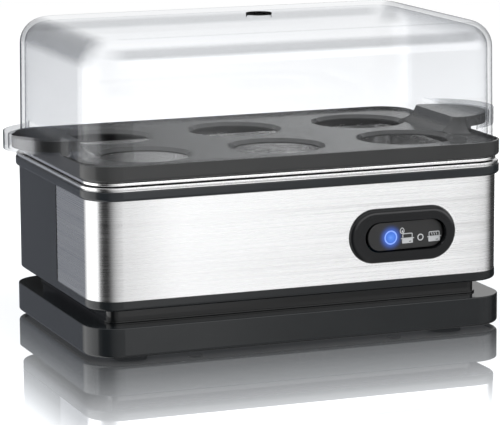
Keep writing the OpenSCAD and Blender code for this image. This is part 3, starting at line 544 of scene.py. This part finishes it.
sign("sign_cooker_eggs", cooker(0.75, -1.55, 5.0) + [
    (oval(-1.75, 1.95, 1.05, 1.3, 0.12), oval(-1.75, 1.95, 0.72, 0.95, 0.12)),
    oval(-1.6, 1.65, 0.34, 0.5, 0.12)])
sign("sign_ring", [(oval(6.8, -1.45, 1.45, 1.45), oval(6.8, -1.45, 0.98, 0.98))])
sign("sign_cooker_steam", cooker(13.2, -1.75, 5.4) + [steam(13.2 + i, -1.05) for i in (-1.1, 0.0, 1.1)])


# ---- Studio ----

def ray_kinds(t):
    """Two switches: 1 for rays that show the white background, and 1 for rays that show the light tent.

    The first are rays from the camera, also through the clear lid, and rays off the floor's mirror, which is
    the only perfectly sharp one. The second are all other mirrored rays.
    """
    path = t.add("ShaderNodeLightPath").outputs
    straight = t.math("LESS_THAN", t.math("ADD", path["Glossy Depth"], path["Diffuse Depth"]), 0.5)
    through = path["Is Transmission Ray"]
    seen = t.math("MULTIPLY", t.math("MAXIMUM", path["Is Camera Ray"], through), straight)
    clean = t.math("LESS_THAN", path["Diffuse Depth"], 0.5)
    once = t.math("MULTIPLY", clean, t.math("LESS_THAN", path["Glossy Depth"], 1.5))
    seen = t.math("MAXIMUM", seen, t.math("MULTIPLY", path["Is Singular Ray"], once))
    mirrored = t.math("MULTIPLY", t.math("GREATER_THAN", path["Glossy Depth"], 0.5), clean)
    mirrored = t.math("MULTIPLY", through, mirrored)
    return seen, t.math("MAXIMUM", path["Is Glossy Ray"], mirrored)


FLOOR_SIZE = 12
# Half the plinth's size, from which the mirror image fades, and the heading along which it is seen
MIRROR_HALF = (0.0915, 0.0585, 0)
SIGHT = (0.357, 0.934)
MIRROR_RUN = 0.26
# How strong the mirror is along that run
MIRROR_FADE = [(0.0, 0.97), (0.096, 0.93), (0.19, 0.86), (0.335, 0.67), (0.408, 0.50), (0.477, 0.31),
               (0.55, 0.16), (0.623, 0.07), (0.71, 0.03), (0.885, 0.0)]
# Rounded outline, from which the floor's tone is measured, with its painted glow close to the cooker
SHADE_HALF = (0.079, 0.046, 0)
SHADE_R = 0.0125


def beyond(t, spot, half):
    """How far the point lies beyond a box of that half size, on each axis."""
    across = t.add("ShaderNodeVectorMath", {0: spot}, operation="ABSOLUTE")
    return t.add("ShaderNodeVectorMath", {0: across, 1: half}, operation="SUBTRACT")


def make_floor():
    """Pale floor that mirrors the cooker close by and fades to plain white. Close by, its glow is painted
    stronger and bluish, which lightens the cooker's shadow there.
    """
    bpy.ops.mesh.primitive_plane_add(size=FLOOR_SIZE)
    floor = bpy.context.object
    floor.name = "floor"
    floor.visible_glossy = False
    floor.location.z = -0.05 * MM
    mat = bpy.data.materials.new("floor")
    t = Tree(mat)
    spot = t.add("ShaderNodeTexCoord").outputs["Object"]
    outside = t.add("ShaderNodeVectorMath", {0: beyond(t, spot, SHADE_HALF), 1: (0, 0, 0)},
                    operation="MAXIMUM")
    reach = t.add("ShaderNodeVectorMath", {0: outside}, operation="LENGTH").outputs["Value"]
    away = t.math("SUBTRACT", reach, SHADE_R)
    past = t.parts(beyond(t, spot, MIRROR_HALF))
    run = t.math("MAXIMUM", t.math("DIVIDE", past[0], SIGHT[0]), t.math("DIVIDE", past[1], SIGHT[1]))
    mirror = t.ramp(t.span(run, 0.0, MIRROR_RUN), MIRROR_FADE)
    seen = ray_kinds(t)[0]
    far = t.span(away, 0.35, 1.6, smooth=True)
    matt = t.add("ShaderNodeBsdfDiffuse", {"Color": t.mix(far, (0.86, 0.86, 0.86, 1), BLACK)})
    # painted light: close to the cooker the floor's glow is bluish and stronger, which lightens the cooker's
    # shadow
    glow_tone = t.mix(t.span(away, 0.05, 0.3), (0.86, 0.93, 1.0, 1), (1, 1, 1, 1))
    glow_strength = t.math("MAXIMUM", t.span(far, 0.0, 1.0, 0.36, 1.0), t.span(away, 0.05, 0.35, 0.58, 0.36))
    lit = t.add("ShaderNodeEmission", {"Color": glow_tone,
                                       "Strength": t.math("MULTIPLY", seen, glow_strength)})
    both = t.add("ShaderNodeAddShader", {0: matt, 1: lit})
    shine = t.add("ShaderNodeBsdfGlossy", {"Color": (0.965, 0.98, 1, 1), "Roughness": 0.0})
    mixed = t.add("ShaderNodeMixShader", {0: mirror, 1: both, 2: shine})
    t.add("ShaderNodeOutputMaterial", {"Surface": mixed})
    floor.data.materials.append(mat)


# The light tent, clockwise from +Y as a share of a turn: panels just below the horizon, and low just above it
SHADED_SIDE = (0.18, 0.19, 0.215)
SHADED_BACK = (0.15, 0.16, 0.185)
LEFT_SIDE = [(0.72, 1.2), (0.80, 1.5), (0.88, 1.3), (0.915, 0.7), (0.937, SHADED_SIDE)]
PANELS = [(0.0, SHADED_BACK), (0.03, 0.08), (0.078, 0.05), (0.088, 0.4), (0.10, 0.3), (0.115, 0.03),
          (0.235, 0.03), (0.26, 0.15), (0.33, 0.40), (0.40, 0.42), (0.425, 0.38), (0.437, 0.38),
          (0.4415, 0.6), (0.4455, 0.85), (0.4495, 0.85), (0.4535, 0.55), (0.477, 0.50), (0.52, 0.42),
          (0.565, 0.28), (0.588, 0.12), (0.61, 0.03), (0.66, 0.03), (0.70, 0.25), *LEFT_SIDE,
          (1.0, SHADED_BACK)]
LOW = [(0.0, 0.12), (0.03, 0.02), (0.05, 0.02), (0.06, 0.3), (0.07, 0.6), (0.085, 0.6), (0.105, 0.04),
       (0.235, 0.04), (0.26, 0.4), (0.34, 1.7), (0.45, 1.9), (0.52, 1.2), (0.565, 0.28), (0.60, 0.03),
       (0.66, 0.03), (0.70, 0.25), *LEFT_SIDE, (1.0, 0.12)]
# The soft sky above them, by height
HIGH = [(0.5, 0.62), (0.62, 0.35), (0.8, 0.77), (1.0, 0.77)]


def make_world():
    """Pale studio. Glossy surfaces see a light tent: a soft sky, and panels with gaps round the sides."""
    world = bpy.data.worlds.new("studio")
    bpy.context.scene.world = world
    t = Tree(world)
    way = t.parts(t.add("ShaderNodeTexCoord").outputs["Generated"])
    angle = t.math("DIVIDE", t.math("ARCTAN2", way[0], way[1]), 2 * math.pi)
    turn = t.math("FRACT", t.math("ADD", angle, 1.0))
    panels = t.ramp(turn, PANELS)
    low = t.ramp(turn, LOW)
    high = t.ramp(way[2], HIGH, "EASE")
    sky = t.mix(t.span(way[2], 0.35, 0.5, smooth=True), low, high)
    tent = t.mix(t.span(way[2], -0.03, 0.03, smooth=True), panels, sky)
    seen, mirrored = ray_kinds(t)
    fill = t.add("ShaderNodeBackground", {"Color": (0.97, 0.98, 1, 1), "Strength": 0.55})
    gloss = t.add("ShaderNodeBackground", {"Color": tent, "Strength": 1.3})
    white = t.add("ShaderNodeBackground", {"Color": (1, 1, 1, 1), "Strength": 1.0})
    shaded = t.add("ShaderNodeMixShader", {0: mirrored, 1: fill, 2: gloss})
    shown = t.add("ShaderNodeMixShader", {0: seen, 1: shaded, 2: white})
    t.add("ShaderNodeOutputWorld", {"Surface": shown})


def softbox(name, at, aim, size, power):
    """Soft square lamp that mirrors don't show."""
    light = bpy.data.lights.new(name, "AREA")
    light.shape = "RECTANGLE"
    light.size, light.size_y = size
    light.energy = power
    lamp = bpy.data.objects.new(name, light)
    lamp.location = at
    lamp.rotation_mode = "QUATERNION"
    lamp.rotation_quaternion = (Vector(aim) - Vector(at)).to_track_quat("-Z", "Y")
    lamp.visible_glossy = False
    bpy.context.scene.collection.objects.link(lamp)


CAMERA_AT = (-0.42197, -1.10273, 0.25974)
CAMERA_LENS = 203.6
YAW = math.radians(-20.84)
PITCH = math.radians(-10.28)
ROLL = math.radians(-0.354)


def make_camera():
    """Camera at the photograph's viewing angle."""
    data = bpy.data.cameras.new("camera")
    camera = bpy.data.objects.new("camera", data)
    bpy.context.scene.collection.objects.link(camera)
    data.sensor_fit = "HORIZONTAL"
    data.sensor_width = 36
    data.lens = CAMERA_LENS
    data.clip_start, data.clip_end = 0.05, 60
    ahead = Vector((-math.sin(YAW) * math.cos(PITCH), math.cos(YAW) * math.cos(PITCH), math.sin(PITCH)))
    right = Vector((math.cos(YAW), math.sin(YAW), 0))
    up = right.cross(ahead)
    side = math.cos(ROLL) * right + math.sin(ROLL) * up
    top = math.cos(ROLL) * up - math.sin(ROLL) * right
    turn = Matrix((side, top, -ahead)).transposed()
    camera.matrix_world = Matrix.Translation(CAMERA_AT) @ turn.to_4x4()
    bpy.context.scene.camera = camera


make_camera()
make_floor()
make_world()
softbox("overhead", (-0.2, -0.2, 1.5), (0, 0, 0), (1.6, 1.2), 14)
softbox("front_right", (0.9, -1.3, 0.8), (0, 0, 0.05), (0.9, 0.9), 6)
softbox("left", (-1.3, -0.2, 0.7), (0, 0, 0.05), (0.8, 0.8), 5)
bpy.context.scene.view_settings.view_transform = "Standard"
